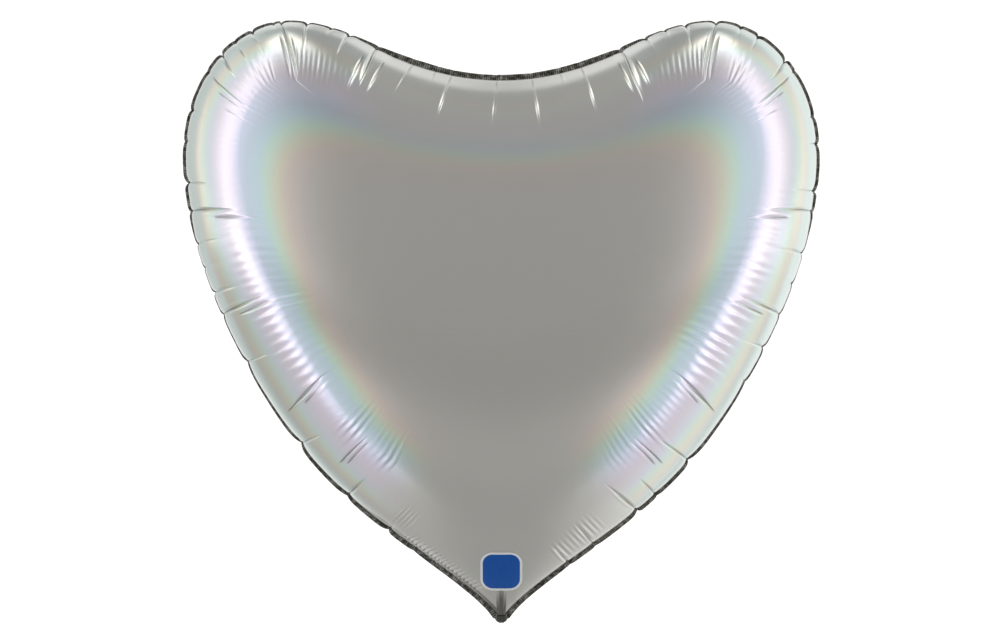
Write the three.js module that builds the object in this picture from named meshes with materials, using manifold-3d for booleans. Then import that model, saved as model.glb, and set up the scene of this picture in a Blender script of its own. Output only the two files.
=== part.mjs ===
// A heart-shaped foil balloon: two film panels sealed along their edge, a self-sealing valve
// between them at the lower tip, and a filling tail folded up behind.
// Millimetres, +Z up. The front looks along -Y. The origin is at the neck, on the panels' mid-plane.
import * as THREE from "three";
import { mergeVertices } from "three/addons/utils/BufferGeometryUtils.js";
import Module from "manifold-3d";

const wasm = await Module();
wasm.setup();

// Inflated size.
const WIDTH = 740;
const HEIGHT = 700;
const DEPTH = 300;

// Outline of the right half, over the edge seal. The left half mirrors it.
const NOTCH_Z = 636; // the dip between the lobes
const LOBE_X = 247; // top of a lobe
const WIDEST_Z = 543;
const HIP = [234, 204]; // where the long side starts to run straight to the tip
const CROWN_Z = 420; // height of the fullest point of both panels

// Films. The real ones are about 0.04 mm thick.
const FILM = 0.6;
const VALVE_FILM = 0.3;
const GAP = 0.3; // between pieces that touch on the real balloon
const SEAL_WIDTH = 6; // heat-sealed edge
const SEAL_UNDERLAP = 1; // how far the sealed edge reaches in between the panels' rims
const SEAL_THICKNESS = 1.5;
const INK = 0.3;

// Neck, tail and valve.
const NECK_WIDTH = 18;
const NECK_SHOULDER_Z = 4; // where the long side meets the neck
const NECK_TOP_Z = 12.5; // where the neck's channel opens into the balloon
const FOLD_Z = 3; // lower end of the neck, level with the fold
const FOLD_Y = 3; // the fold line lies behind the neck
const FOLD_ANGLE = 128; // degrees that the tail is folded back from hanging straight down
const TAIL_LENGTH = 75;
const INLET_WIDTH = 12; // valve films where they run through the neck and the tail
const VALVE_WIDTH = 34; // valve films inside the balloon
const VALVE_LENGTH = 120;
const VALVE_TAPER = 28; // length over which the valve widens above the neck
const COATING_X = [-5, 5];
const COATING_Z = [18, 130];
const MARK = { size: 42, corner: 11, z: 66, keyline: 2.5 };

// Mesh fineness.
const RINGS = 9;
const FULLNESS = 1.45; // 1 gives an elliptical profile, and more a flatter crown with a rounder rim

// Layers at the neck, from the mid-plane outwards.
const COATING_HALF = 0.15;
const VALVE_Y = COATING_HALF + GAP;
const PANEL_Y = VALVE_Y + VALVE_FILM + GAP;

const foil = new THREE.MeshStandardMaterial({ color: 0x93928b, roughness: 0.28, metalness: 1 });
const sealedFoil = new THREE.MeshStandardMaterial({ color: 0x5c5b56, roughness: 0.4, metalness: 1 });
const clearFilm = new THREE.MeshStandardMaterial({ color: 0xd9dcdc, roughness: 0.35, metalness: 0 });
const coating = new THREE.MeshStandardMaterial({ color: 0x7f8c94, roughness: 0.7, metalness: 0 });
const whiteInk = new THREE.MeshStandardMaterial({ color: 0xf2f4f6, roughness: 0.4, metalness: 0 });
const ink = new THREE.MeshStandardMaterial({ color: 0x004c99, roughness: 0.35, metalness: 0 });

// The right half of the outline, from the notch down to the neck, as [x, z] points.
function outerEdge() {
  const widest = WIDTH / 2;
  const round = 0.5523; // a cubic curve's handle for a quarter ellipse
  const half = new THREE.Path();
  half.moveTo(0, NOTCH_Z);
  half.bezierCurveTo(110, NOTCH_Z, 170, HEIGHT, LOBE_X, HEIGHT);
  half.bezierCurveTo(
    LOBE_X + round * (widest - LOBE_X), HEIGHT,
    widest, WIDEST_Z + round * (HEIGHT - WIDEST_Z),
    widest, WIDEST_Z,
  );
  half.bezierCurveTo(widest, 430, HIP[0] + 67, HIP[1] + 87, ...HIP);
  half.bezierCurveTo(HIP[0] - 77, HIP[1] - 100, 44, 56, NECK_WIDTH / 2, NECK_SHOULDER_Z);
  return half.curves.flatMap((curve, i) => curve.getSpacedPoints(SPANS[i]).slice(i ? 1 : 0));
}
const SPANS = [8, 8, 9, 9]; // straight steps along each of the four curves

// The same points moved inwards by a distance, square to the edge.
function inset(points, distance) {
  return points.map((p, i) => {
    const before = points[Math.max(i - 1, 0)];
    const after = points[Math.min(i + 1, points.length - 1)];
    const along = i === 0 ? new THREE.Vector2(1, 0) : after.clone().sub(before).normalize();
    return new THREE.Vector2(p.x + along.y * distance, p.y - along.x * distance);
  });
}

// Both halves as one loop, clockwise seen from the front, starting at the notch.
function bothHalves(half) {
  const left = half.slice(1).reverse().map((p) => new THREE.Vector2(-p.x, p.y));
  return [...half, ...left];
}

const edge = outerEdge();
const seam = bothHalves(inset(edge, SEAL_WIDTH));

// The panels' grid: one vertex in the middle, then rings that scale up to the seam.
const SPOKES = seam.length;
const gridPoints = [new THREE.Vector2(0, CROWN_Z)];
const gridTriangles = [];
for (let ring = 1; ring <= RINGS; ring++) {
  const share = Math.sin(((ring / RINGS) * Math.PI) / 2);
  for (const p of seam) gridPoints.push(gridPoints[0].clone().lerp(p, share));
}
for (let ring = 0; ring < RINGS; ring++) {
  for (let s = 0; s < SPOKES; s++) {
    const inner = (k) => (ring === 0 ? 0 : 1 + (ring - 1) * SPOKES + (k % SPOKES));
    const outer = (k) => 1 + ring * SPOKES + (k % SPOKES);
    gridTriangles.push([outer(s), outer(s + 1), inner(s)]);
    if (ring > 0) gridTriangles.push([inner(s), outer(s + 1), inner(s + 1)]);
  }
}
const FIRST_RIM = gridPoints.length - SPOKES;

// How far an evenly loaded membrane over the seam sags at each grid point, as a share of its most.
function sag() {
  const links = gridPoints.map(() => new Map());
  const load = gridPoints.map(() => 0);
  for (const triangle of gridTriangles) {
    for (let k = 0; k < 3; k++) {
      const [i, j, opposite] = [0, 1, 2].map((n) => triangle[(k + n) % 3]);
      const toI = gridPoints[i].clone().sub(gridPoints[opposite]);
      const toJ = gridPoints[j].clone().sub(gridPoints[opposite]);
      const area = Math.abs(toI.cross(toJ));
      const weight = toI.dot(toJ) / area / 2;
      links[i].set(j, (links[i].get(j) ?? 0) + weight);
      links[j].set(i, (links[j].get(i) ?? 0) + weight);
      load[opposite] += area / 6;
    }
  }
  const depth = gridPoints.map(() => 0);
  for (let pass = 0; pass < 1500; pass++) {
    for (let i = 0; i < FIRST_RIM; i++) {
      let pull = load[i];
      let total = 0;
      for (const [j, weight] of links[i]) {
        pull += weight * depth[j];
        total += weight;
      }
      depth[i] = pull / total;
    }
  }
  const most = Math.max(...depth);
  return depth.map((d) => d / most);
}

// The front panel's outer surface: the sagging shape with the rounder rim that a gas-filled
// pair of films has.
function domePoints() {
  const rise = DEPTH / 2 - PANEL_Y;
  return sag().map((share, i) => {
    const height = rise * Math.sqrt(1 - (1 - share) ** FULLNESS);
    return new THREE.Vector3(gridPoints[i].x, -PANEL_Y - height, gridPoints[i].y);
  });
}
const dome = domePoints();

function domeNormals() {
  const surface = new THREE.BufferGeometry().setFromPoints(dome).setIndex(gridTriangles.flat());
  surface.computeVertexNormals();
  const normals = surface.getAttribute("normal");
  return dome.map((_, i) => {
    const normal = new THREE.Vector3().fromBufferAttribute(normals, i);
    if (i >= FIRST_RIM) normal.setY(0).normalize();
    return normal;
  });
}
const outwards = domeNormals();

// A closed layer of the front panel between two distances outwards from its outer surface.
function domeLayer(low, high) {
  const at = (distance) => dome.map((p, i) => p.clone().addScaledVector(outwards[i], distance));
  const count = dome.length;
  const triangles = gridTriangles.flatMap(([a, b, c]) => [
    [a, b, c],
    [c + count, b + count, a + count],
  ]);
  for (let s = 0; s < SPOKES; s++) {
    const here = FIRST_RIM + s;
    const next = FIRST_RIM + ((s + 1) % SPOKES);
    triangles.push([here, here + count, next], [next, here + count, next + count]);
  }
  const layer = new THREE.BufferGeometry();
  layer.setFromPoints([...at(high), ...at(low)]).setIndex(triangles.flat());
  return layer;
}

function toSolid(geometry) {
  const bare = new THREE.BufferGeometry();
  bare.setAttribute("position", geometry.getAttribute("position")).setIndex(geometry.index);
  const merged = mergeVertices(bare, 1e-3);
  return new wasm.Manifold(
    new wasm.Mesh({
      numProp: 3,
      vertProperties: merged.attributes.position.array,
      triVerts: new Uint32Array(merged.index.array),
    }),
  );
}

function toGeometry(solid) {
  const mesh = solid.getMesh();
  return new THREE.BufferGeometry()
    .setAttribute("position", new THREE.BufferAttribute(mesh.vertProperties, 3))
    .setIndex(new THREE.BufferAttribute(mesh.triVerts, 1));
}

// A flat sheet with an outline of [x, z] points, between two planes of constant y.
function sheet(outline, yLow, yHigh) {
  const shape = outline.isShape ? outline : new THREE.Shape(outline);
  const flat = new THREE.ExtrudeGeometry(shape, { depth: yHigh - yLow, bevelEnabled: false });
  return flat.rotateX(Math.PI / 2).translate(0, yHigh, 0);
}

function strip(xLow, xHigh, yLow, yHigh, zLow, zHigh) {
  const box = new THREE.BoxGeometry(xHigh - xLow, yHigh - yLow, zHigh - zLow);
  return box.translate((xLow + xHigh) / 2, (yLow + yHigh) / 2, (zLow + zHigh) / 2);
}

function behind(geometry) {
  return geometry.clone().rotateZ(Math.PI);
}

const NECK_END_Z = FOLD_Z + GAP / 2;
const neckHalf = NECK_WIDTH / 2;
const inletHalf = INLET_WIDTH / 2;

// A panel: its dome, and the flat film that runs on from it down the neck.
function panel() {
  const neckFilm = strip(-neckHalf, neckHalf, -PANEL_Y - FILM, -PANEL_Y, NECK_END_Z, NECK_TOP_Z);
  const full = toSolid(domeLayer(-FILM, 0));
  return toGeometry(full.add(toSolid(neckFilm)));
}

// The welded edge: both films pressed together, from the neck up round the lobes and back.
function edgeSeal() {
  const inner = inset(edge, SEAL_WIDTH + SEAL_UNDERLAP);
  const channel = inletHalf + GAP;
  const outer = [...edge, new THREE.Vector2(neckHalf, NECK_END_Z)];
  const inside = [
    ...inner.filter((p) => p.x > channel || p.y > NOTCH_Z / 2),
    new THREE.Vector2(channel, NECK_TOP_Z - 2),
    new THREE.Vector2(channel, NECK_END_Z),
  ];
  const left = (points) => points.slice(1).map((p) => new THREE.Vector2(-p.x, p.y));
  const outline = [...left(outer).reverse(), ...outer, ...inside.reverse(), ...left(inside.reverse())];
  return sheet(outline, -SEAL_THICKNESS / 2, SEAL_THICKNESS / 2);
}

function roundedSquare(size, corner) {
  const half = size / 2;
  const shape = new THREE.Shape();
  shape.moveTo(half - corner, -half);
  shape.absarc(half - corner, corner - half, corner, -Math.PI / 2, 0);
  shape.absarc(half - corner, half - corner, corner, 0, Math.PI / 2);
  shape.absarc(corner - half, half - corner, corner, Math.PI / 2, Math.PI);
  shape.absarc(corner - half, corner - half, corner, Math.PI, Math.PI * 1.5);
  return shape;
}

function markPrism(size, corner) {
  const points = roundedSquare(size, corner).getPoints(4);
  return toSolid(sheet(points, -DEPTH, 0).translate(0, 0, MARK.z));
}

const inkLayer = () => toSolid(domeLayer(GAP, GAP + INK));

function printedMark() {
  return toGeometry(inkLayer().intersect(markPrism(MARK.size, MARK.corner)));
}

function markKeyline() {
  const inner = markPrism(MARK.size + 2 * GAP, MARK.corner + GAP);
  const outerSize = MARK.size + 2 * (GAP + MARK.keyline);
  const outer = markPrism(outerSize, MARK.corner + GAP + MARK.keyline);
  return toGeometry(inkLayer().intersect(outer.subtract(inner)));
}

// One wall of the valve inside the balloon: as wide as the neck's channel where it starts.
function valveFilm() {
  const start = NECK_TOP_Z + GAP;
  const half = VALVE_WIDTH / 2;
  const outline = [
    [-inletHalf, start],
    [inletHalf, start],
    [half, start + VALVE_TAPER],
    [half, start + VALVE_LENGTH],
    [-half, start + VALVE_LENGTH],
    [-half, start + VALVE_TAPER],
  ];
  const points = outline.map(([x, z]) => new THREE.Vector2(x, z));
  return sheet(points, -VALVE_Y - VALVE_FILM, -VALVE_Y);
}

function inletFilm(zLow, zHigh) {
  return strip(-inletHalf, inletHalf, -VALVE_Y - VALVE_FILM, -VALVE_Y, zLow, zHigh);
}

const NECK = [NECK_END_Z, NECK_TOP_Z];
const TAIL = [FOLD_Z - GAP / 2 - TAIL_LENGTH, FOLD_Z - GAP / 2];

function tailFilm() {
  return strip(-neckHalf, neckHalf, -PANEL_Y - FILM, -PANEL_Y, ...TAIL);
}

function tailSeal(side) {
  const [low, high] = side > 0 ? [inletHalf + GAP, neckHalf] : [-neckHalf, -inletHalf - GAP];
  return strip(low, high, -SEAL_THICKNESS / 2, SEAL_THICKNESS / 2, ...TAIL);
}

// Turns a piece of the hanging tail about the fold, up behind the balloon.
function foldedUp(geometry) {
  return geometry
    .translate(0, -FOLD_Y, -FOLD_Z)
    .rotateX(THREE.MathUtils.degToRad(FOLD_ANGLE))
    .translate(0, FOLD_Y, FOLD_Z);
}

const object = new THREE.Group();
object.name = "heart_foil_balloon";

function add(name, geometry, material) {
  const clean = toGeometry(toSolid(geometry));
  clean.computeVertexNormals();
  const mesh = new THREE.Mesh(clean, material.clone());
  mesh.name = name;
  object.add(mesh);
}

add("front_panel", panel(), foil);
add("back_panel", behind(panel()), foil);
add("edge_seal", edgeSeal(), sealedFoil);
add("valve_neck_front", inletFilm(...NECK), clearFilm);
add("valve_neck_back", behind(inletFilm(...NECK)), clearFilm);
add("printed_mark", printedMark(), ink);
add("mark_keyline", markKeyline(), whiteInk);

add("valve_front_film", valveFilm(), clearFilm);
add("valve_back_film", behind(valveFilm()), clearFilm);
add("valve_coating", strip(...COATING_X, -COATING_HALF, COATING_HALF, ...COATING_Z), coating);

add("tail_front_film", foldedUp(tailFilm()), foil);
add("tail_back_film", foldedUp(behind(tailFilm())), foil);
add("tail_seal_left", foldedUp(tailSeal(-1)), sealedFoil);
add("tail_seal_right", foldedUp(tailSeal(1)), sealedFoil);
add("inlet_front_film", foldedUp(inletFilm(...TAIL)), clearFilm);
add("inlet_back_film", foldedUp(behind(inletFilm(...TAIL))), clearFilm);

export default object;
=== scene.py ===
"""A heart-shaped foil balloon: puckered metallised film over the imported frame, in a plain studio."""

import math

import bpy
import numpy as np
from mathutils import Matrix, Vector
from mathutils.bvhtree import BVHTree


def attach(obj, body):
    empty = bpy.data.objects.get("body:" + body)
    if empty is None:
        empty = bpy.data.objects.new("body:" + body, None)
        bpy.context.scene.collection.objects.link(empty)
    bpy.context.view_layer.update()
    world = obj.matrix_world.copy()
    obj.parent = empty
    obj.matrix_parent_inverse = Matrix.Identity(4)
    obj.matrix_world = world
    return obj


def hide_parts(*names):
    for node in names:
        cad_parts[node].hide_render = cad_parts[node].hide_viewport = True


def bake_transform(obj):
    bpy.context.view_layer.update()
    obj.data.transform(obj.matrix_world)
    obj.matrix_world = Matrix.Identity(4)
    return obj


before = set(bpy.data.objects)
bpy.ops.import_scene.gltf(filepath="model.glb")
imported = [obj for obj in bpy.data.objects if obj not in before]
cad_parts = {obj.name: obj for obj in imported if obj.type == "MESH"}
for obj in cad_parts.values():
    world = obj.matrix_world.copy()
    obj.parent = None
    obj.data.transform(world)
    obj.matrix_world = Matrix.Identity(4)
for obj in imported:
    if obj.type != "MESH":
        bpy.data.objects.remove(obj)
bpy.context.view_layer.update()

MM = 0.001

# The sealed edge's outer line, right half, from the notch down to the neck: four cubic curves, in
# millimetres. ROUND is where a curve's handles lie along a quarter circle's sides.
ROUND = 0.5523
OUTLINE = (
    ((0, 636), (110, 636), (170, 700), (247, 700)),
    ((247, 700), (247 + ROUND * 123, 700), (370, 543 + ROUND * 157), (370, 543)),
    ((370, 543), (370, 430), (301, 291), (234, 204)),
    ((234, 204), (157, 104), (44, 56), (9, 4)),
)
SEAL_WIDTH = 6 * MM
CROWN = np.array([0, 420]) * MM  # (x, z) of the place where each panel stands out most
HALF_DEPTH = 149.5 * MM
FULLNESS = 1.45  # the larger, the more steeply the dome rises from the seam
RIM_Y = 0.7 * MM  # how far each panel's rim lies from the mid-plane

# Creases that run in from the seam, one per row: its place along the seam from the notch, in
# millimetres; how far it pulls the edge in and how deep it is, both from 0 to 1; how far from the
# seam it starts and ends; and how many millimetres it leans along the seam per millimetre inwards.
LEFT_CREASES = (
    (5, 0.25, 0.30, 4, 78, 0.05),
    (57, 0.30, 0.38, 3, 66, 0.05),
    (76, 0.15, 0.15, 2, 30, 0.05),
    (103, 0.25, 0.32, 3, 46, 0.09),
    (132, 0, 0.55, 14, 56, 0.05),
    (150, 0.40, 0.95, 0, 50, -0.10),
    (158, 0, 0.60, 17, 62, -0.04),
    (186, 0.60, 0.55, 0, 26, -0.05),
    (208, 0.20, 0.10, 0, 10, -0.15),
    (236, 0.60, 0.50, 0, 30, -0.22),
    (258, 0, 0.70, 20, 74, -0.50),
    (266, 0.50, 1.00, 3, 84, -0.55),
    (274, 0.20, 0.70, 18, 66, -0.50),
    (300, 0.60, 0.20, 0, 14, -0.15),
    (322, 0.20, 0.30, 14, 40, 0.05),
    (343, 0.90, 0.80, 0, 38, 0.32),
    (368, 0.20, 1.00, 12, 72, 0.32),
    (377, 0, 0.60, 28, 70, 0.32),
    (392, 0, 0.45, 45, 76, 0.30),
    (416, 0.50, 0.20, 0, 14, 0.10),
    (452, 0.30, 0.12, 0, 12, 0.12),
    (500, 1.00, 0.50, 0, 30, 0.32),
    (533, 0.50, 1.00, 0, 56, 0.28),
    (542, 0, 0.75, 30, 74, 0.30),
    (572, 0.40, 0.25, 0, 26, 0.18),
    (600, 0.25, 0.10, 0, 10, 0.10),
    (631, 0.70, 0.55, 0, 26, 0.22),
    (658, 0.40, 1.00, 2, 50, 0.07),
    (668, 0, 0.85, 20, 60, 0.04),
    (719, 0.60, 0.60, 0, 30, 0.24),
    (797, 0, 1.00, 14, 78, -0.20),
    (804, 0, 0.60, 36, 74, -0.18),
    (832, 1.00, 0.75, 0, 30, 0.28),
    (880, 0, 0.90, 24, 68, 0.00),
    (887, 0, 0.60, 30, 66, 0.00),
    (913, 0.50, 0.90, 0, 30, 0.08),
    (975, 0.70, 0.30, 0, 16, 0.10),
    (1012, 0.20, 0.20, 0, 10, 0.10),
)
RIGHT_CREASES = (
    (35, 0.25, 0.35, 4, 78, 0.00),
    (68, 0.15, 0.15, 2, 30, 0.00),
    (93, 0.35, 0.38, 2, 72, -0.06),
    (132, 0, 0.60, 15, 56, 0.00),
    (144, 0.80, 0.95, 0, 70, -0.10),
    (151, 0, 0.60, 20, 54, 0.02),
    (176, 0.50, 0.30, 0, 14, 0.00),
    (200, 0.30, 0.10, 0, 10, -0.10),
    (224, 0.60, 0.40, 0, 20, -0.15),
    (252, 0, 0.60, 22, 76, -0.48),
    (260, 0.70, 1.00, 0, 84, -0.52),
    (269, 0, 0.70, 18, 70, -0.50),
    (288, 0.30, 0.15, 0, 10, -0.20),
    (310, 0.60, 0.35, 0, 18, 0.00),
    (352, 1.00, 0.70, 0, 34, 0.28),
    (367, 0.20, 1.00, 12, 74, 0.30),
    (376, 0, 0.60, 28, 70, 0.32),
    (392, 0, 0.45, 45, 76, 0.30),
    (424, 0.30, 0.10, 0, 10, 0.12),
    (455, 0.50, 0.40, 0, 20, 0.15),
    (510, 0.70, 0.50, 0, 28, 0.25),
    (533, 0.30, 1.00, 0, 58, 0.28),
    (542, 0, 0.75, 30, 74, 0.30),
    (583, 0.50, 0.60, 0, 28, 0.22),
    (620, 0.30, 0.10, 0, 10, 0.12),
    (658, 0.30, 1.00, 2, 50, 0.07),
    (668, 0, 0.85, 20, 60, 0.04),
    (700, 0.60, 0.60, 0, 26, 0.24),
    (745, 0.30, 0.10, 0, 10, 0.00),
    (797, 0, 1.00, 14, 78, -0.20),
    (804, 0, 0.60, 36, 74, -0.18),
    (857, 0.90, 0.80, 0, 46, 0.12),
    (880, 0, 0.80, 24, 68, 0.03),
    (887, 0, 0.60, 30, 66, 0.03),
    (912, 0.30, 0.60, 0, 28, 0.06),
    (940, 0.80, 0.85, 0, 50, 0.16),
    (1004, 0.20, 0.55, 0, 34, 0.05),
    (1040, 0.20, 0.80, 0, 24, 0.05),
)
# Fine wrinkles, one zone per row: where it starts and ends along the seam, the wrinkles' spacing,
# how far from the seam they start and end, and their height, in millimetres; and how many
# millimetres they lean along the seam per millimetre inwards.
WRINKLES = (
    (30, 150, 6.5, 8, 50, 0.05, 0),
    (158, 262, 7.4, 24, 70, 0.16, -0.35),
    (274, 415, 12.5, 22, 90, 0.20, 0.12),
    (430, 535, 11.0, 30, 80, 0.05, 0.1),
    (535, 665, 11.8, 24, 86, 0.16, 0.1),
    (660, 802, 11.8, 18, 92, 0.60, 0),
    (798, 886, 8.6, 24, 104, 0.42, -0.1),
    (884, 936, 8.8, 44, 100, 0.22, 0),
)
# The short pleats above the neck, in the same terms.
LEFT_COMB = ((966, 992, 4.9, 4, 44, 0.40, 0.1), (984, 1100, 5.2, 0, 17, 2.00, 0.5))
RIGHT_COMB = ((972, 1048, 6.2, 1, 40, 0.30, 0.1),)
EDGE_ROWS = 45  # rows of points near the seam, where the creases are
INNER_ROWS = 15
EDGE_PACKING = 2.2  # above 1, rows lie closer together towards the outside
INNER_PACKING = 1.1
REACH = 70  # how far from the seam the edge rows go, in millimetres
SPACING = 1.6  # the columns' greatest mean distance along the seam, in millimetres
NECK_SPACING = 1.1  # the same near the neck, where the pleats are finer
NEAR_NECK = 960  # the place along the seam where the finer columns start
NECK_COLUMNS = 6
CREASE_SPREAD = 16  # how far from its middle a crease is worked out, in millimetres


def bezier(corners, count):
    """Points of a cubic curve whose corners are in millimetres, without its last point."""
    a, b, c, d = (np.array(p, float) * MM for p in corners)
    t = np.linspace(0, 1, count, endpoint=False)[:, None]
    return (1 - t) ** 3 * a + 3 * (1 - t) ** 2 * t * b + 3 * (1 - t) * t**2 * c + t**3 * d


def inward_normals(points):
    """Unit directions to the inside of a line of points that runs clockwise."""
    along = np.gradient(points, axis=0)
    along /= np.linalg.norm(along, axis=1)[:, None]
    return np.c_[along[:, 1], -along[:, 0]]


def half_seam():
    """The seam's right half as a fine line of (x, z) points from the notch to the neck."""
    edge = np.vstack([bezier(curve, 400) for curve in OUTLINE] + [np.array([OUTLINE[-1][-1]]) * MM])
    seam = edge + SEAL_WIDTH * inward_normals(edge)
    seam[0, 0] = 0
    return seam


def lengths_along(points):
    """Each point's distance along the line from the first one."""
    steps = np.linalg.norm(np.diff(points, axis=0), axis=1)
    return np.r_[0, np.cumsum(steps)]


def smooth(x, low, high):
    """A smooth step, from 0 at low to 1 at high."""
    t = np.clip((x - low) / (high - low), 0, 1)
    return t * t * (3 - 2 * t)


class Dome:
    """The smooth shape of one panel: how far it stands out at each point inside the seam."""

    SPOKES = 180
    RINGS = 20

    def __init__(self, half):
        self.loop = np.vstack([half, half[::-1][:-1] * [-1, 1]])
        closed = np.vstack([self.loop, self.loop[:1]])
        along = lengths_along(closed)
        even = np.arange(self.SPOKES) * along[-1] / self.SPOKES
        rim = np.c_[np.interp(even, along, closed[:, 0]), np.interp(even, along, closed[:, 1])]
        self._turns(closed, along)
        shares = np.sin(np.arange(1, self.RINGS + 1) / self.RINGS * math.pi / 2)
        grid = np.vstack([CROWN[None]] + [CROWN + share * (rim - CROWN) for share in shares])
        sag = self._sag(grid)
        rise = np.sqrt(1 - (1 - sag) ** FULLNESS)
        rings = np.vstack([np.full(self.SPOKES, rise[0]), rise[1:].reshape(self.RINGS, -1)])
        # The interpolation needs a row beyond the crown and one beyond the seam.
        across = np.roll(rings[1], self.SPOKES // 2)
        self.rise = np.vstack([across, rings, -rings[-2]])

    def _turns(self, closed, along):
        """Tables from the direction seen from the crown to the spoke and to the rim's distance."""
        offset = closed - CROWN
        turned = -np.unwrap(np.arctan2(offset[:, 1], offset[:, 0]))
        self.start = turned[0]
        self.angles = turned - self.start
        self.reach = np.linalg.norm(offset, axis=1)
        self.spoke = along / along[-1] * self.SPOKES

    def _sag(self, grid):
        """An evenly loaded membrane's sag, by linear elements, as a share of its most."""
        ring_start = 1 + np.arange(self.RINGS)[:, None] * self.SPOKES
        outer = ring_start + np.arange(self.SPOKES)
        outer_next = ring_start + (np.arange(self.SPOKES) + 1) % self.SPOKES
        inner = np.vstack([np.zeros((1, self.SPOKES), int), outer[:-1]])
        inner_next = np.vstack([np.zeros((1, self.SPOKES), int), outer_next[:-1]])
        triangles = np.vstack([
            np.stack([inner, outer, outer_next], -1).reshape(-1, 3),
            np.stack([inner, outer_next, inner_next], -1)[1:].reshape(-1, 3),
        ])
        count = len(grid)
        stiffness = np.zeros((count, count))
        load = np.zeros(count)
        for k in range(3):
            i, j, m = (triangles[:, (k + n) % 3] for n in range(3))
            u, v = grid[i] - grid[m], grid[j] - grid[m]
            doubled_area = np.abs(u[:, 0] * v[:, 1] - u[:, 1] * v[:, 0])
            weight = (u * v).sum(1) / doubled_area / 2
            np.add.at(stiffness, (i, i), weight)
            np.add.at(stiffness, (j, j), weight)
            np.add.at(stiffness, (i, j), -weight)
            np.add.at(stiffness, (j, i), -weight)
            np.add.at(load, m, doubled_area / 6)
        sag = np.zeros(count)
        free = slice(0, count - self.SPOKES)
        sag[free] = np.linalg.solve(stiffness[free, free], load[free])
        return sag / sag.max()

    def height(self, points):
        """How far the film stands out at (x, z) points, by cubic interpolation of the rings."""
        offset = points - CROWN
        turned = np.mod(-np.arctan2(offset[..., 1], offset[..., 0]) - self.start, 2 * math.pi)
        reach = np.interp(turned, self.angles, self.reach)
        spoke = np.interp(turned, self.angles, self.spoke)
        share = np.clip(np.linalg.norm(offset, axis=-1) / reach, 0, 1)
        ring = np.arcsin(share) * 2 / math.pi * self.RINGS
        ring = np.clip(ring, 0, self.RINGS - 1e-6)
        row, column = np.floor(ring).astype(int), np.floor(spoke).astype(int)
        across = catmull(ring - row)
        around = catmull(spoke - column)
        total = 0
        for i in range(4):
            for j in range(4):
                value = self.rise[row + i, (column + j - 1) % self.SPOKES]
                total = total + across[i] * around[j] * value
        return HALF_DEPTH * np.clip(total, 0, None)


def catmull(t):
    """The weights of four neighbouring values, for a smooth curve through the middle two."""
    return (
        ((2 - t) * t - 1) * t / 2,
        ((3 * t - 5) * t * t + 2) / 2,
        ((4 - 3 * t) * t + 1) * t / 2,
        (t - 1) * t * t / 2,
    )


class Columns:
    """The grid's columns, one per point of the seam, packed closer beside each crease. They lean
    as the creases do, so that each crease runs along a column."""

    def __init__(self, half):
        self.along = lengths_along(half) / MM
        self.half = half
        self.normals = inward_normals(half)
        self.normals[0] = (0, -1)
        right = self._half(RIGHT_CREASES, 1)
        left = self._half(LEFT_CREASES, -1)
        neck = self._neck(right, left)
        parts = [right, neck, {key: value[::-1][:-1] for key, value in left.items()}]
        for key in right:
            setattr(self, key, np.concatenate([part[key] for part in parts]))
        self.count = len(self.seam)

    def _half(self, creases, side):
        length = self.along[-1]
        places = [0] + [crease[0] for crease in creases] + [length]
        where = []
        for low, high in zip(places, places[1:]):
            spacing = SPACING if high < NEAR_NECK else NECK_SPACING
            steps = max(4, math.ceil((high - low) / spacing))
            even = np.arange(steps) / steps
            packed_at_ends = (1 - np.cos(even * math.pi)) / 2
            shares = 0.7 * packed_at_ends + 0.3 * even
            where.append(low + shares * (high - low))
        where = np.concatenate(where + [[length]])
        end_dip = 0.1
        dips = [crease[:2] for crease in creases if crease[1]]
        dips = [(0, end_dip)] + dips + [(length, end_dip)]
        dip_places, dip_sizes = np.array(dips, float).T
        after = np.clip(np.searchsorted(dip_places, where, side="right"), 1, len(dips) - 1)
        before = dip_places[after - 1]
        between = (where - before) / (dip_places[after] - before)
        seam = self._at(where, self.half) * [side, 1]
        inward = self._at(where, self.normals) * [side, 1]
        # Towards the neck the rows end before they reach the middle.
        room = 0.6 * np.abs(seam[:, 0] / MM) / np.maximum(np.abs(inward[:, 0]), 0.1)
        return {
            "where": where,
            "side": np.full(len(where), side, float),
            "lean": np.interp(where, places, [0] + [crease[5] for crease in creases] + [0]),
            "between": between,
            "open": np.zeros(len(where)),
            "dip": dip_sizes[after - 1] * (1 - between) + dip_sizes[after] * between,
            "flip": np.sin(dip_places[after] * 7.3),  # which way each stretch sways, and how far
            "seam": seam,
            "inward": inward,
            "reach": np.where(where > 800, np.minimum(REACH, room), REACH),
        }

    def _at(self, where, values):
        return np.stack([np.interp(where, self.along, values[:, k]) for k in (0, 1)], -1)

    def _neck(self, right, left):
        """The few columns across the neck, where the panels aren't sealed to each other."""
        shares = np.linspace(0, 1, NECK_COLUMNS + 2)[1:-1][:, None]
        part = {key: np.repeat(right[key][-1:], NECK_COLUMNS, axis=0) for key in right}
        part["seam"] = right["seam"][-1] * (1 - shares) + left["seam"][-1] * shares
        part["inward"] = np.repeat([[0.0, 1.0]], NECK_COLUMNS, axis=0)
        part["open"] = np.ones(NECK_COLUMNS)
        return part

    def inset(self, distance):
        """The columns' points at a distance in millimetres from the seam, seen from the front."""
        shape = np.broadcast_shapes(np.shape(distance), self.where.shape)
        distance = np.broadcast_to(distance, shape)
        where = self.where + self.lean * distance
        sideways = np.stack([self.side, np.ones(self.count)], -1)
        leaning = self._at(where, self.half)
        leaning = leaning + self._at(where, self.normals) * distance[..., None] * MM
        straight = self.seam + self.inward * distance[..., None] * MM
        straight[..., 0] *= 1 - 0.6 * distance / self.reach
        return np.where(self.open[:, None] > 0, straight, leaning * sideways)


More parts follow.
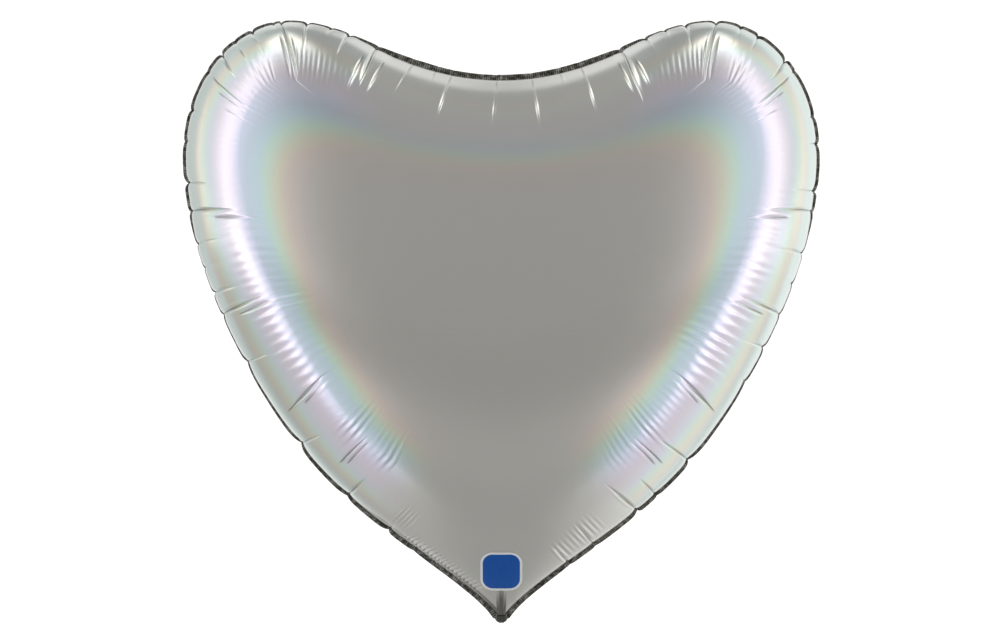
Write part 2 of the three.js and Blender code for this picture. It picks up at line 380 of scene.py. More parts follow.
def panel_grid(columns, dome):
    """The smooth panel as rows of points from the seam inwards, without the crown point, and each
    point's distance from the seam, seen from the front, in millimetres."""
    edge_insets = columns.reach * ((np.arange(EDGE_ROWS) / EDGE_ROWS) ** EDGE_PACKING)[:, None]
    edge_rows = columns.inset(edge_insets)
    turn = columns.inset(columns.reach)
    shares = ((np.arange(INNER_ROWS) / INNER_ROWS) ** INNER_PACKING)[:, None, None]
    inner_rows = turn + (CROWN - turn) * shares
    steps = np.linalg.norm(np.diff(inner_rows, axis=0), axis=-1) / MM
    inner_insets = columns.reach + np.vstack([0 * columns.reach, np.cumsum(steps, axis=0)])
    flat = np.vstack([edge_rows, inner_rows])
    height = dome.height(flat)
    height[0] = 0
    grid = np.stack([flat[..., 0], -RIM_Y - height, flat[..., 1]], -1)
    return grid, np.vstack([edge_insets, inner_insets])


def grid_normals(grid):
    """Outward normals of the front panel's grid, taken round the loop and along the rows."""
    around = np.roll(grid, -1, axis=1) - np.roll(grid, 1, axis=1)
    inwards = np.gradient(grid, axis=0)
    normal = np.cross(inwards, around)
    normal /= np.maximum(np.linalg.norm(normal, axis=-1, keepdims=True), 1e-12)
    return normal


def noise_line(x, wavelength, rng):
    """A smooth random line over x, from -1 to 1, with features about a wavelength long."""
    knots = rng.uniform(-1, 1, int(np.max(x) / wavelength) + 4)
    return np.interp(x, np.arange(len(knots)) * wavelength, knots)


def fold_heights(columns, depth, inset, rng):
    """How far the film stands out of the smooth dome at each grid point, in metres. depth is the
    distance from the seam along the film and inset the same seen from the front, in millimetres.
    Also how dark the film is painted there, from 0 to 1: painted shade in the creases' folds, and
    darker film pressed into the seam."""
    total = bulge(columns, depth)
    dark = 1 - smooth(inset - pressed_width(columns)[None], -1, 1)
    for side, creases, comb in ((1, RIGHT_CREASES, RIGHT_COMB), (-1, LEFT_CREASES, LEFT_COMB)):
        on_side = columns.side == side
        for place, _, size, first, last, _ in creases:
            near = np.nonzero(on_side & (np.abs(columns.where - place) < CREASE_SPREAD))[0]
            size = size * rng.uniform(0.9, 1.1)
            valley, shade = crease(columns.where[near] - place, inset[:, near], size, first, last)
            total[:, near] -= valley
            # Painted shade along each crease's fold.
            dark[:, near] = np.maximum(dark[:, near], shade)
        near = np.nonzero(on_side & (columns.open == 0))[0]
        leant = columns.lean[near] * np.minimum(inset[:, near], columns.reach[near])
        for zone in WRINKLES + comb:
            total[:, near] += wrinkles(columns.where[near] + leant, inset[:, near], zone, rng)
    return total * MM, dark


def pressed_width(columns):
    """How far the dark, pressed film reaches in from the seam, in millimetres: only at the notch
    and near the neck."""
    right = np.interp(columns.where, (100, 150, 1000, 1060), (2.4, -1, -1, 2.5))
    left = np.interp(columns.where, (100, 150, 900, 960), (2.4, -1, -1, 6))
    return np.where(columns.side > 0, right, left)


def bulge(columns, depth):
    """Puckers: the film swells past the seam between creases and dips to it at each one."""
    highest = 7.0
    swell = highest * smooth(depth, 0, 16) * (1 - smooth(depth, 16, 100))
    swell = swell * (1 - 0.8 * columns.open) * fullness(columns)
    to_crease = np.abs(2 * columns.between - 1)
    pinch = (0.25 + 0.75 * columns.dip) * to_crease**5
    fade = 1 - smooth(depth, 6, 38)
    return swell * (1 - fade * pinch[None])


def fullness(columns):
    """How far the film swells past the seam: hardly at the notch and towards the neck, and less
    round the lobes than down the sides, so that the sealed edge shows there."""
    places = (0, 130, 190, 260, 300, 520, 580, 700, 850, 985, 1200)
    shares = (0.05, 0.05, 0.70, 0.60, 0.30, 0.30, 0.75, 0.62, 0.30, 0.08, 0.05)
    return np.interp(columns.where, places, shares)


def crease(distance, inset, size, first, last):
    """A narrow valley with a low ridge on each side, deepest near the middle of its length, and the
    painted shade of its fold: dark where it starts, fading inwards."""
    length = last - first
    lens = smooth(inset, first - 4, first + 0.35 * length)
    lens = lens * (1 - smooth(inset, first + 0.45 * length, last + 4)) ** 0.8
    width = 0.6 + 0.9 * size * lens
    offset = np.abs(distance)[None] / width
    valley = np.exp(-(offset**1.4)) * (0.9 + 1.5 * size)
    ridge_place, ridge_height = 2.6, 0.35
    ridge = np.exp(-((offset - ridge_place) ** 2) * 1.2) * ridge_height
    fold_width, fold_end = 0.8, first + min(0.7 * length, 4 + 38 * size)
    shade = smooth(inset, first - 2, first + 3) * (1 - smooth(inset, first + 3, fold_end))
    shade = shade * np.exp(-((np.abs(distance)[None] / fold_width) ** 2))
    return (valley - ridge) * size * lens, shade * min(1, 0.45 + 0.6 * size)


def wrinkles(where, inset, zone, rng):
    """A zone of fine parallel wrinkles, uneven in spacing, height and length."""
    low, high, spacing, first, last, height, lean = zone
    where = where - lean * inset
    turns = where / spacing + 0.3 * noise_line(where, 4.3 * spacing, rng)
    uneven = 1 + 0.4 * noise_line(where, 1.7 * spacing, rng)
    longer = (last - first) * 0.14 * noise_line(where, 1.3 * spacing, rng)
    margin = min(14, (high - low) / 5)
    along = smooth(where, low, low + margin) * (1 - smooth(where, high - margin, high))
    middle = first + 0.45 * (last - first)
    rise = smooth(inset, first + longer, middle)
    fall = 1 - smooth(inset, middle, last + longer)
    return height * along * uneven * np.sin(2 * math.pi * turns) * rise * fall


def seam_wave(columns):
    """How the sealed edge strays from its smooth line: (inwards, backwards) in metres."""
    last = columns.where.max()
    taper = (1 - columns.open) * smooth(last - columns.where, 5, 60)
    to_crease = np.abs(2 * columns.between - 1)
    dip = to_crease**6 * (0.4 + 4.6 * columns.dip) * taper - taper
    less_at_notch = 0.3 + 0.7 * smooth(columns.where, 100, 200)
    most_sway = 1.6
    sway = np.sin(columns.between * math.pi) * columns.flip * most_sway * taper
    return dip * less_at_notch * MM, sway * MM


half = half_seam()
dome = Dome(half)
columns = Columns(half)
seam_dip, seam_sway = seam_wave(columns)


def panel_surface(back):
    """One panel's points, row by row and then the crown; each point's tilt from the front, in
    degrees, shifted by how far it faces up, which places the painted sheen colours; and how dark its
    film is painted, from 0 to 1: painted shade in the folds, darker film pressed into the seam."""
    rng = np.random.default_rng(11 if back else 7)
    grid, inset = panel_grid(columns, dome)
    steps = np.linalg.norm(np.diff(grid, axis=0), axis=-1)
    depth = np.vstack([np.zeros(columns.count), np.cumsum(steps, axis=0)]) / MM
    normal = grid_normals(grid)
    normal[0] = np.stack([-columns.inward[:, 0], 0 * columns.where, -columns.inward[:, 1]], -1)
    heights, dark = fold_heights(columns, depth, inset, rng)
    grid = grid + normal * heights[..., None]
    # The painted sheen colours follow the smooth dome in part, so that a fold breaks them up less.
    facing = 0.45 * normal + 0.55 * grid_normals(grid)
    facing /= np.linalg.norm(facing, axis=-1, keepdims=True)
    tilt = np.degrees(np.arccos(np.clip(-facing[..., 1], -1, 1)))
    tilt = tilt + UPWARD_SHIFT * facing[..., 2]
    # Near the seam the film follows the edge's dips and sway, which fade over these millimetres.
    dip_fade, sway_fade = 22, 12
    hold = np.exp(-depth / dip_fade)[..., None]
    inward = np.stack([columns.inward[:, 0], 0 * columns.where, columns.inward[:, 1]], -1)
    grid = grid + hold * inward[None] * seam_dip[None, :, None]
    sway = seam_sway[None] * np.exp(-depth / sway_fade)
    grid[..., 1] += -sway if back else sway
    crown = np.array([[CROWN[0], -RIM_Y - HALF_DEPTH, CROWN[1]]])
    points = np.vstack([grid.reshape(-1, 3), crown])
    return points, np.r_[tilt.ravel(), 0], np.r_[dark.ravel(), 0]


def foil_panel(name, back):
    """One inflated panel. The back one is the front one's mirror image with its own wrinkles."""
    points, tilt, dark = panel_surface(back)
    if back:
        points[:, 1] *= -1
    faces = loop_faces(EDGE_ROWS + INNER_ROWS, columns.count, len(points) - 1, flipped=not back)
    piece = mesh_piece(name, points, faces)
    # The tilt places the painted sheen colours.
    attribute(piece, "tilt", tilt)
    # The filling channel above the neck is darker too.
    x, z = np.abs(points[:, 0]) / MM, points[:, 2] / MM
    channel = (1 - smooth(x, 4.8, 6.2)) * (1 - smooth(z, 30, 42))
    # dark: painted shade in the creases' folds, and darker film pressed into the seam and over the
    # filling channel.
    attribute(piece, "dark", np.maximum(channel, dark))
    return piece


def loop_faces(rows, count, crown, flipped):
    """Faces of a closed band of rows that ends in one crown point."""
    here = np.arange(count)
    after = (here + 1) % count
    faces = []
    for row in range(rows - 1):
        a, b = row * count + here, row * count + after
        quads = np.stack([a, b, b + count, a + count], -1)
        faces += quads.tolist()
    last = (rows - 1) * count
    faces += np.stack([last + here, last + after, np.full(count, crown)], -1).tolist()
    return [face[::-1] for face in faces] if flipped else faces


def grid_faces(rows, count):
    """Faces of an open grid of rows with count points in each."""
    return [
        [k * count + i, k * count + i + 1, (k + 1) * count + i + 1, (k + 1) * count + i]
        for k in range(rows - 1)
        for i in range(count - 1)
    ]


def mesh_piece(name, points, faces):
    """A new smooth-shaded object in the scene."""
    mesh = bpy.data.meshes.new(name)
    mesh.from_pydata(np.asarray(points).tolist(), [], faces)
    mesh.update()
    mesh.shade_smooth()
    piece = bpy.data.objects.new(name, mesh)
    bpy.context.scene.collection.objects.link(piece)
    return piece


def attribute(piece, name, values):
    """Gives each of the piece's points a number that its material can read."""
    data = piece.data.attributes.new(name, "FLOAT", "POINT")
    data.data.foreach_set("value", np.asarray(values, np.float32))


def flange():
    """The sealed edge: both films pressed flat, waving with the seam, cut off neatly outside."""
    spine = columns.seam + columns.inward * seam_dip[:, None]
    closed = np.nonzero(columns.open == 0)[0]
    # From the neck's left side round to its right side.
    order = np.r_[closed[closed > columns.count // 2], closed[closed <= columns.count // 2]]
    across = np.array([-1.0, 0.6, 3.2, 5.6, 6.0])  # millimetres outwards from the seam
    rng = np.random.default_rng(3)
    ripple = 0.5 * MM * noise_line(np.arange(columns.count), 9, rng)
    wider_at_notch = 1 + 0.22 * (1 - smooth(columns.where, 100, 150))
    half_thickness = (0.22, 0.22, 0.22, 0.22, 0.1)
    sheets = []
    for face in (-1, 1):
        rows = []
        for out, half_thick in zip(across, half_thickness):
            point = spine - columns.inward * (out * wider_at_notch)[:, None] * MM
            y = seam_sway + ripple * (out / across[-1]) + face * half_thick * MM
            rows.append(np.stack([point[:, 0], y, point[:, 1]], -1)[order])
        sheets.append(rows)
    ring = sheets[0] + sheets[1][::-1]
    count = len(order)
    points = np.vstack(ring)
    faces = []
    for k in range(len(ring)):
        low, high = k * count, (k + 1) % len(ring) * count
        for i in range(count - 1):
            faces.append([low + i, low + i + 1, high + i + 1, high + i])
    # The two cut ends at the neck.
    faces.append([k * count for k in range(len(ring))])
    faces.append([k * count + count - 1 for k in reversed(range(len(ring)))])
    piece = mesh_piece("sealed_edge", points, faces)
    attribute(piece, "seam_mm", np.tile(columns.where[order], len(ring)))
    return piece


FOLD_AXIS = (3 * MM, 3 * MM)  # y and z of the line the tail is folded about
FOLD_ANGLE = math.radians(128)
TAIL_LENGTH = 75 * MM
TAIL_HALF = 9 * MM  # half the tail's width
INLET_HALF = 6 * MM  # half the filling inlet's width
FOLD_ROW = 18  # the row of a tail film's points at the middle of the fold


def tail_path(radius):
    """(y, z) points and outward directions of one film, from the neck round the fold to the mouth."""
    y, z = FOLD_AXIS
    neck = [((y - radius, z + up * MM), (-1, 0)) for up in np.linspace(9, 0.5, 8)]
    bend = []
    for angle in np.linspace(math.pi, math.pi + FOLD_ANGLE, 22):
        out = (math.cos(angle), math.sin(angle))
        bend.append(((y + radius * out[0], z + radius * out[1]), out))
    (end_y, end_z), out = bend[-1]
    along = (-out[1], out[0])
    tail = [
        ((end_y + along[0] * far, end_z + along[1] * far), out)
        for far in np.linspace(0, TAIL_LENGTH, 60)[1:]
    ]
    return neck + bend + tail


def tail_film(name, radius, face, seed):
    """One of the tail's two films. Its sides are sealed to the other film, so they lie closer to it
    than its middle, which the filling inlet holds apart."""
    rng = np.random.default_rng(seed)
    path = tail_path(radius)
    across = np.linspace(-1, 1, 25)
    wrinkle = 0.18 * MM * rng.normal(size=(len(path), 1)).cumsum(axis=0) / 6
    rows = []
    for k, ((y, z), (out_y, out_z)) in enumerate(path):
        at_fold = math.exp(-(((k - FOLD_ROW) / 6) ** 2))
        # The film narrows towards the fold, which looks rounded from the front.
        rounded = np.clip((10.5 * MM - z) / (11.3 * MM), 0, 0.94)
        half_width = TAIL_HALF * math.sqrt(1 - rounded**2)
        x = across * half_width
        sealed = smooth(np.abs(x), INLET_HALF - 0.6 * MM, INLET_HALF + 0.5 * MM)
        lift = -face * (1.1 * MM) * sealed * (1 - at_fold)
        lift = lift + wrinkle[k] * np.sin(across * 3 + k / 5) * (1 - at_fold)
        rows.append(np.stack([x, y + out_y * lift, z + out_z * lift], -1))
    piece = mesh_piece(name, np.vstack(rows), grid_faces(len(rows), len(across)))
    solid = piece.modifiers.new("film", "SOLIDIFY")
    solid.thickness = 0.12 * MM
    solid.offset = 0
    apply_modifiers(piece)
    points = np.array([v.co for v in piece.data.vertices])
    sealed = smooth(np.abs(points[:, 0]), INLET_HALF, INLET_HALF + 0.5 * MM)
    at_neck = 1 - smooth(points[:, 1] / MM, 0, 6)
    attribute(piece, "sealed", np.maximum(sealed, at_neck))
    attribute(piece, "seam_mm", (points[:, 2] + points[:, 1]) / MM)
    return piece


def apply_modifiers(piece):
    """Turns the piece's modifiers into plain mesh."""
    evaluated = piece.evaluated_get(bpy.context.evaluated_depsgraph_get())
    mesh = bpy.data.meshes.new_from_object(evaluated)
    piece.modifiers.clear()
    piece.data = mesh
    piece.data.shade_smooth()


def rounded_square(half, corner, count=120):
    """Evenly spaced points round a square with rounded corners, counter-clockwise."""
    points = []
    for turn, (cx, cy) in enumerate(((1, 1), (-1, 1), (-1, -1), (1, -1))):
        for angle in np.linspace(0, math.pi / 2, 16):
            a = angle + turn * math.pi / 2
            centre = half - corner
            points.append((cx * centre + corner * math.cos(a), cy * centre + corner * math.sin(a)))
    points = np.array(points + points[:1])
    along = lengths_along(points)
    even = np.arange(count) / count * along[-1]
    return np.stack([np.interp(even, along, points[:, k]) for k in (0, 1)], -1)


def printed_ring(name, panel, outer, inner, centre_z):
    """A print on the panel between two outlines, lying on the film."""
    places = [v.co for v in panel.data.vertices]
    tree = BVHTree.FromPolygons(places, [p.vertices for p in panel.data.polygons])
    steps = 14
    clearance = 0.35 * MM
    points = []
    for share in np.linspace(0, 1, steps):
        for x, z in outer * (1 - share) + inner * share:
            start = Vector((x, -1, z + centre_z))
            place, normal, _, _ = tree.ray_cast(start, Vector((0, 1, 0)))
            points.append(place + normal * clearance)
    count = len(outer)
    faces = []
    for k in range(steps - 1):
        for i in range(count):
            j = (i + 1) % count
            faces.append([k * count + i, k * count + j, (k + 1) * count + j, (k + 1) * count + i])
    return mesh_piece(name, points, faces)


class Nodes:
    """A new Principled material and short ways to add nodes to it."""

    def __init__(self, name, color, metallic, roughness):
        self.material = bpy.data.materials.new(name)
        self.material.use_nodes = True
        self.tree = self.material.node_tree
        self.shader = self.tree.nodes["Principled BSDF"]
        self.shader.inputs["Base Color"].default_value = (*color, 1)
        self.shader.inputs["Metallic"].default_value = metallic
        self.shader.inputs["Roughness"].default_value = roughness

    def add(self, kind, **settings):
        node = self.tree.nodes.new(kind)
        for key, value in settings.items():
            setattr(node, key, value)
        return node

    def link(self, output, target):
        self.tree.links.new(output, target)

    def value(self, name):
        return self.add("ShaderNodeAttribute", attribute_name=name).outputs["Fac"]

    def math(self, operation, a, b=0.0):
        node = self.add("ShaderNodeMath", operation=operation)
        for socket, value in zip(node.inputs, (a, b)):
            if isinstance(value, (int, float)):
                socket.default_value = value
            else:
                self.link(value, socket)
        return node.outputs[0]

    def noise(self, scale, detail=2.0):
        node = self.add("ShaderNodeTexNoise")
        node.inputs["Scale"].default_value = scale
        node.inputs["Detail"].default_value = detail
        place = self.add("ShaderNodeTexCoord")
        self.link(place.outputs["Object"], node.inputs["Vector"])
        return node.outputs["Fac"]

    def mix(self, factor, a, b):
        node = self.add("ShaderNodeMix", data_type="RGBA")
        self.link(factor, node.inputs["Factor"])
        for key, value in (("A", a), ("B", b)):
            socket = [s for s in node.inputs if s.name == key and s.type == "RGBA"][0]
            if isinstance(value, tuple):
                socket.default_value = (*value, 1)
            else:
                self.link(value, socket)
        return [s for s in node.outputs if s.type == "RGBA"][0]

    def ramp(self, factor, stops):
        node = self.add("ShaderNodeValToRGB")
        elements = node.color_ramp.elements
        while len(elements) < len(stops):
            elements.new(0.5)
        for element, (place, color) in zip(elements, stops):
            element.position = place
            element.color = (*color, 1)
        self.link(factor, node.inputs["Fac"])
        return node.outputs["Color"]

    def bump(self, height, distance):
        node = self.add("ShaderNodeBump")
        node.inputs["Distance"].default_value = distance
        node.inputs["Strength"].default_value = 1.0
        self.link(height, node.inputs["Height"])
        self.link(node.outputs["Normal"], self.shader.inputs["Normal"])


def srgb(red, green, blue):
    """Linear values of a colour given on the 0 to 255 screen scale."""
    levels = [level / 255 for level in (red, green, blue)]
    return tuple(c / 12.92 if c <= 0.04 else ((c + 0.055) / 1.055) ** 2.4 for c in levels)


PLAIN = srgb(205, 204, 198)
# Painted sheen: the film's diffraction colours, painted by tilt away from the front, in degrees, and
# fixed on the film;
# lightest near 32 to 35 degrees, where the side lights' highlight falls.
SHEEN = (
    (0, (205, 204, 198)),
    (10, (206, 204, 198)),
    (14.5, (209, 203, 198)),
    (17, (216, 204, 196)),
    (19, (214, 212, 194)),
    (21.5, (198, 219, 205)),
    (24, (191, 210, 218)),
    (26.5, (192, 203, 216)),
    (29, (200, 206, 222)),
    (32, (214, 210, 226)),
    (35, (214, 207, 220)),
    (39, (212, 206, 214)),
    (43, (205, 208, 216)),
    (47, (202, 215, 207)),
    (51.5, (211, 211, 195)),
    (56, (206, 205, 198)),
    (60, (198, 211, 206)),
    (67, (196, 207, 203)),
    (90, (188, 192, 188)),
)
UPWARD_SHIFT = 10  # how many degrees of tilt the colours shift on film that faces straight up


def foil_material():
    """Satin silver film with painted sheen colours by tilt and painted shade in its folds, darker
    where it is pressed into the seam or over the filling channel.
    """
    nodes = Nodes("foil", PLAIN, 1.0, 0.26)
    # The bands wander by a degree or so, as the film isn't quite even.
    drift = nodes.math("MULTIPLY", nodes.noise(9), 2.4)
    tilt = nodes.math("ADD", nodes.value("tilt"), nodes.math("SUBTRACT", drift, 1.2))
    # Painted sheen: colours by tilt, mixed in as far as the sheen weight says.
    stops = [(degrees / 90, srgb(*color)) for degrees, color in SHEEN]
    colours = nodes.ramp(nodes.math("DIVIDE", tilt, 90.0), stops)
    film = nodes.mix(nodes.value("sheen"), PLAIN, colours)
    # Painted shade in the creases' folds, and darker film pressed into the seam and over the filling
    # channel.
    film = nodes.mix(nodes.value("dark"), film, srgb(112, 110, 103))
    nodes.link(film, nodes.shader.inputs["Base Color"])
    worn = nodes.math("ADD", nodes.math("MULTIPLY", nodes.noise(60, 4), 0.06), 0.22)
    nodes.link(worn, nodes.shader.inputs["Roughness"])
    nodes.bump(nodes.noise(240, 3), 0.04 * MM)
    return nodes.material


def embossing(nodes, spacing):
    """Even waves along the seam, from -1 to 1, a spacing in millimetres apart."""
    turns = nodes.math("MULTIPLY", nodes.value("seam_mm"), 2 * math.pi / spacing)
    return nodes.math("SINE", turns)


def seal_material():
    """Dark, patchy film with the heat seal's embossed lines across it."""
    nodes = Nodes("sealed_foil", (0.1, 0.1, 0.09), 1.0, 0.38)
    ticks = embossing(nodes, 2.6)
    patches = nodes.noise(190, 3)
    rough = nodes.math("MULTIPLY", patches, 3.0)
    height = nodes.math("ADD", nodes.math("MULTIPLY", ticks, 0.5), rough)
    streaks = nodes.math("ADD", patches, nodes.math("MULTIPLY", ticks, 0.09))
    stops = [(0.3, srgb(52, 51, 46)), (0.5, srgb(98, 97, 90)), (0.72, srgb(170, 169, 162))]
    shade = nodes.ramp(streaks, stops)
    nodes.link(shade, nodes.shader.inputs["Base Color"])
    nodes.bump(height, 0.22 * MM)
    return nodes.material


def tail_material():
    """Silver film, darker and embossed along the tail's sealed sides."""
    nodes = Nodes("tail_foil", PLAIN, 1.0, 0.3)
    pressed = nodes.math("MULTIPLY", embossing(nodes, 2.2), nodes.value("sealed"))
    film = nodes.mix(nodes.value("sealed"), PLAIN, srgb(92, 91, 85))
    nodes.link(film, nodes.shader.inputs["Base Color"])
    height = nodes.math("ADD", pressed, nodes.math("MULTIPLY", nodes.noise(160, 3), 1.5))
    nodes.bump(height, 0.12 * MM)
    return nodes.material


def ink_material(name, color):
    """A slightly speckled print."""
    nodes = Nodes(name, color, 0.0, 0.36)
    nodes.shader.inputs["Specular IOR Level"].default_value = 0.25
    speckle = nodes.noise(900, 2)
    shade = tuple(c * 0.9 for c in color)
    nodes.link(nodes.mix(speckle, shade, color), nodes.shader.inputs["Base Color"])
    nodes.bump(nodes.noise(500, 2), 0.02 * MM)
    return nodes.material


def clear_film_material():
    """The valve's thin, hazy plastic film."""
    nodes = Nodes("valve_film", (0.72, 0.74, 0.74), 0.0, 0.3)
    nodes.shader.inputs["Alpha"].default_value = 0.6
    haze = nodes.math("ADD", nodes.math("MULTIPLY", nodes.noise(120, 3), 0.25), 0.2)
    nodes.link(haze, nodes.shader.inputs["Roughness"])
    return nodes.material


def coating_material():
    """The dull patch that keeps the valve's films from sticking together."""
    nodes = Nodes("release_coating", (0.21, 0.26, 0.29), 0.0, 0.7)
    nodes.link(
        nodes.mix(nodes.noise(300, 3), (0.16, 0.2, 0.23), (0.24, 0.3, 0.33)),
        nodes.shader.inputs["Base Color"],
    )
    return nodes.material


def sheen_weights(panel):
    """Where the painted sheen colours show, from 0 to 1: strong down the sides, where the side lights
    reflect, weaker on the tops of the lobes, and faint at the notch and above the neck."""
    points = np.array([v.co for v in panel.data.vertices])
    x, z = np.abs(points[:, 0]) / MM, points[:, 2] / MM
    at_notch = (1 - smooth(x, 110, 230)) * smooth(z, 450, 590)
    on_lobe = 0.7 * (1 - smooth(x, 200, 310)) * smooth(z, 570, 650)
    at_notch = np.maximum(at_notch, on_lobe)
    low = 1 - smooth(z + x, 240, 350)
    return (1 - 0.88 * at_notch) * (1 - low)


front = foil_panel("front_film", back=False)
rear = foil_panel("back_film", back=True)
edge = flange()
foil = foil_material()
for panel, node in ((front, "front_panel"), (rear, "back_panel")):
    # How strongly the painted sheen colours show.
    attribute(panel, "sheen", sheen_weights(panel))
    panel.data.materials.append(foil)
    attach(panel, "balloon")
    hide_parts(node)
edge.data.materials.append(seal_material())
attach(edge, "balloon")
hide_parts("edge_seal")

MARK_Z = 66 * MM
mark_edge = rounded_square(21 * MM, 11 * MM)
mark_middle = mark_edge * 0.001  # so small that the patch shows no hole
mark = printed_ring("printed_patch", front, mark_edge, mark_middle, MARK_Z)
line_in = rounded_square(21.1 * MM, 11.1 * MM)
line_out = rounded_square(23.8 * MM, 13.8 * MM)
keyline = printed_ring("printed_line", front, line_out, line_in, MARK_Z)
for piece, node, name, color in (
    (mark, "printed_mark", "blue_ink", srgb(0, 88, 180)),
    (keyline, "mark_keyline", "white_ink", srgb(246, 248, 250)),
):
    piece.data.materials.append(ink_material(name, color))
    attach(piece, "balloon")
    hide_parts(node)

tail_foil = tail_material()
for name, radius, face, seed, nodes_replaced in (
    ("tail_outer_film", 4.0 * MM, 1, 21, ("tail_front_film", "tail_seal_left")),
    ("tail_inner_film", 1.9 * MM, -1, 22, ("tail_back_film", "tail_seal_right")),
):
    film = tail_film(name, radius, face, seed)
    film.data.materials.append(tail_foil)
    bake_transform(film)
    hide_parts(*nodes_replaced)

clear = clear_film_material()
coating = coating_material()
for name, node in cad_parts.items():
    if name.startswith(("valve_", "inlet_")):
        for slot in node.material_slots:
            slot.material = coating if name == "valve_coating" else clear


FLOOR_Z = -0.9
# The soft lights' line round the right side, from above the balloon to below it, in metres, and
# the width and power of the light on each stretch of it.
STRIP = (
    (0.3, 0.06, 1.65),
    (0.6, -0.12, 1.65),
    (1.1, -0.5, 1.65),
    (1.33, -0.27, 0.35),
    (1.3, -0.62, -0.55),
    (0.85, -0.65, -0.85),
)
STRIP_WIDTH = (0.42, 0.2, 0.2, 0.2, 0.2)
STRIP_POWER = {"left": (0.8, 0.48, 0.66, 0.68, 0.2), "right": (0.8, 0.48, 0.66, 0.54, 0.1)}


def sky_light(tree):
    """White light from both sides, most from a little above the middle, and about half as much
    from the front, from behind and from straight above and below."""
    place = tree.nodes.new("ShaderNodeTexCoord")
    parts = tree.nodes.new("ShaderNodeSeparateXYZ")
    size = tree.nodes.new("ShaderNodeMath")
    size.operation = "ABSOLUTE"
    ramp = tree.nodes.new("ShaderNodeValToRGB")
    ramp.color_ramp.interpolation = "EASE"
    for element, (where, value) in zip(ramp.color_ramp.elements, ((0.35, 0.47), (0.92, 1.04))):
        element.position = where
        element.color = (value, value, value, 1)
    tree.links.new(place.outputs["Generated"], parts.inputs[0])
    tree.links.new(parts.outputs["X"], size.inputs[0])
    above = tree.nodes.new("ShaderNodeMath")
    above.operation = "MULTIPLY_ADD"
    above.inputs[1].default_value = 0.22
    tree.links.new(parts.outputs["Z"], above.inputs[0])
    tree.links.new(size.outputs[0], above.inputs[2])
    tree.links.new(above.outputs[0], ramp.inputs["Fac"])
    tree.links.new(ramp.outputs["Color"], tree.nodes["Background"].inputs["Color"])


STUDIO_HALF = 14  # half the studio's width, and how far its floor runs to the front, in metres
STUDIO_STEP = 0.25
CURVE_Y = 1.6  # where the floor starts to curve up
CURVE_RADIUS = 1.2
WALL_Y = 2.8
WALL_TOP = 5


def backdrop():
    """A plain pale floor that curves up into a backdrop that glows with painted light, white behind
    the object.
    """
    profile = [(y, FLOOR_Z) for y in np.arange(-STUDIO_HALF, CURVE_Y, STUDIO_STEP)]
    for angle in np.linspace(0, math.pi / 2, 16):
        y = CURVE_Y + CURVE_RADIUS * math.sin(angle)
        profile.append((y, FLOOR_Z + CURVE_RADIUS - CURVE_RADIUS * math.cos(angle)))
    profile += [(WALL_Y, z) for z in np.arange(FLOOR_Z + 1.4, WALL_TOP, STUDIO_STEP)]
    floor = swept("studio_floor", profile)
    x, y, z = np.array([v.co for v in floor.data.vertices]).T
    # The wall's painted glow is brightest far out, a little less on the right, least on the left, and
    # dimmer high up in the middle. Far out, the floor glows too, so that no horizon shows from the
    # sides.
    wall = 0.75 - 0.3 * smooth(-x, 1.3, 2) + 0.1 * smooth(x, 1.3, 2)
    wall = np.maximum(wall, 0.85 * smooth(np.abs(x), 5, 8))
    high_up = smooth(z, 1.15, 2.1) * (1 - smooth(np.abs(x), 0.08, 0.35))
    wall = smooth(y, 1.4, 2.6) * wall * (1 - 0.65 * high_up)
    far_out = 0.62 * smooth(np.abs(x), 3, 11)
    attribute(floor, "glow", np.maximum(wall, far_out))
    nodes = Nodes("studio_floor", (0.56, 0.56, 0.56), 0.0, 0.8)
    nodes.shader.inputs["Emission Color"].default_value = (1, 1, 1, 1)
    # The glow is painted light: emission from the floor and backdrop.
    nodes.link(nodes.value("glow"), nodes.shader.inputs["Emission Strength"])
    see_through_from_behind(nodes)
    floor.data.materials.append(nodes.material)


def floor_light():
    """A soft light from the floor on each side of the object. Only glossy things show it."""
    profile = [(y, FLOOR_Z + 5 * MM) for y in np.arange(-3.5, 2.6, STUDIO_STEP)]
    sheet = swept("floor_light", profile)
    x, y, _ = np.array([v.co for v in sheet.data.vertices]).T
    inner_edge = 0.9 - 0.45 * smooth(y, -1.1, -0.6)
    lengthwise = smooth(y, -3, -2.2) * (1 - smooth(y, 1.4, 2.4))
    beside = smooth(np.abs(x) - inner_edge, 0, 0.7) * lengthwise
    left = 0.28 - 0.16 * smooth(y, 0.3, 0.9)
    right = 0.38 + 0.18 * smooth(y, -0.3, 0.4)
    in_front = 0.06 * smooth(y, -3.5, -3) * (1 - smooth(y, -1.6, -0.9))
    attribute(sheet, "glow", beside * np.where(x > 0, right, left) + in_front)
    nodes = Nodes("floor_light", (0, 0, 0), 0.0, 1.0)
    glow = nodes.add("ShaderNodeEmission")
    both = nodes.add("ShaderNodeAddShader")
    nodes.link(nodes.value("glow"), glow.inputs["Strength"])
    nodes.link(glow.outputs[0], both.inputs[0])
    nodes.link(nodes.add("ShaderNodeBsdfTransparent").outputs[0], both.inputs[1])
    nodes.link(both.outputs[0], nodes.tree.nodes["Material Output"].inputs["Surface"])
    sheet.data.materials.append(nodes.material)
    sheet.visible_camera = False
    sheet.visible_diffuse = False
    sheet.visible_shadow = False


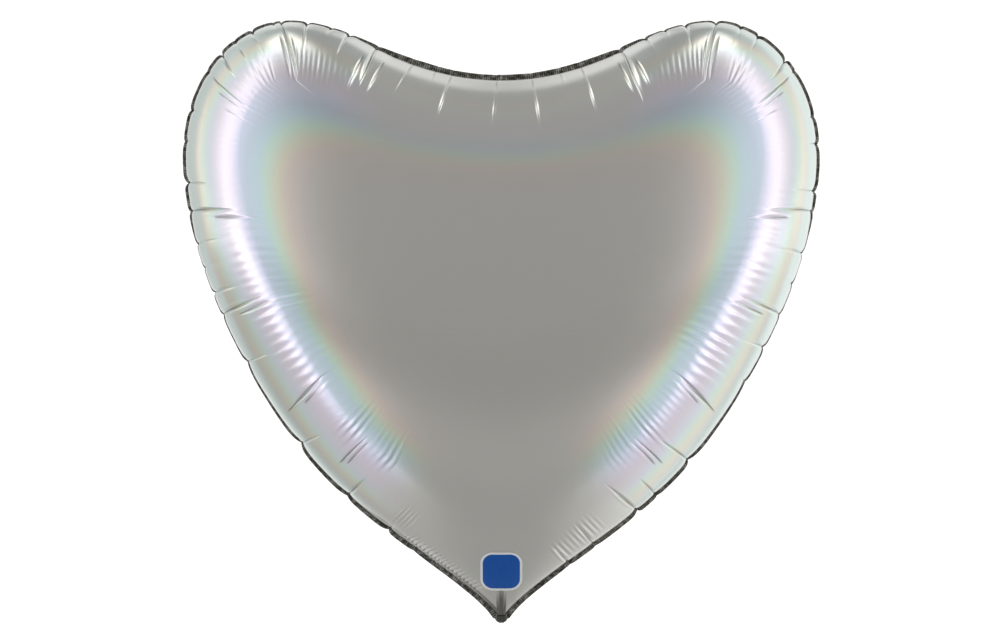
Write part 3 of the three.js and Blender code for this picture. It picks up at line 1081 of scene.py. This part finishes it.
def swept(name, profile):
    """A sheet 28 m wide that follows a profile of (y, z) points and faces up or to the front."""
    across = np.arange(-STUDIO_HALF, STUDIO_HALF + 0.1, STUDIO_STEP)
    points = np.array([(x, y, z) for y, z in profile for x in across])
    return mesh_piece(name, points, grid_faces(len(profile), len(across)))


def see_through_from_behind(nodes):
    """Lets the object show from every side: a surface is opaque only from its front."""
    choose = nodes.add("ShaderNodeMixShader")
    nodes.link(nodes.add("ShaderNodeNewGeometry").outputs["Backfacing"], choose.inputs[0])
    nodes.link(nodes.shader.outputs[0], choose.inputs[1])
    nodes.link(nodes.add("ShaderNodeBsdfTransparent").outputs[0], choose.inputs[2])
    nodes.link(choose.outputs[0], nodes.tree.nodes["Material Output"].inputs["Surface"])


def studio():
    """The backdrop, even light all round, and narrow soft lights that curve round each side."""
    world = bpy.data.worlds.new("studio")
    bpy.context.scene.world = world
    world.use_nodes = True
    sky_light(world.node_tree)
    backdrop()
    floor_light()
    for side, name in ((-1, "left"), (1, "right")):
        corners = [(side * x, y, z) for x, y, z in STRIP]
        for k, power in enumerate(STRIP_POWER[name]):
            strip_light(f"{name}_strip_{k + 1}", corners[k], corners[k + 1], STRIP_WIDTH[k], power)


def strip_light(name, start, end, width, power):
    """A soft light that runs from start to end and faces the balloon."""
    start, end = Vector(start), Vector(end)
    light = bpy.data.lights.new(name, "AREA")
    light.shape = "RECTANGLE"
    light.size = width
    light.size_y = (end - start).length
    light.energy = power
    lamp = bpy.data.objects.new(name, light)
    lamp.location = (start + end) / 2
    up = (end - start).normalized()
    away = lamp.location - Vector((0, 0, 0.4))
    back = (away - up * away.dot(up)).normalized()
    lamp.rotation_euler = Matrix((up.cross(back), up, back)).transposed().to_euler()
    bpy.context.scene.collection.objects.link(lamp)


def camera():
    """A level camera in front of the balloon, with the photograph's framing."""
    data = bpy.data.cameras.new("camera")
    data.lens = 85
    data.sensor_width = 36
    view = bpy.data.objects.new("camera", data)
    view.location = (-0.0015, -2.75, 0.352)
    view.rotation_euler = (math.pi / 2, 0, 0)
    bpy.context.scene.collection.objects.link(view)
    bpy.context.scene.camera = view


studio()
camera()
bpy.context.scene.view_settings.view_transform = "Standard"
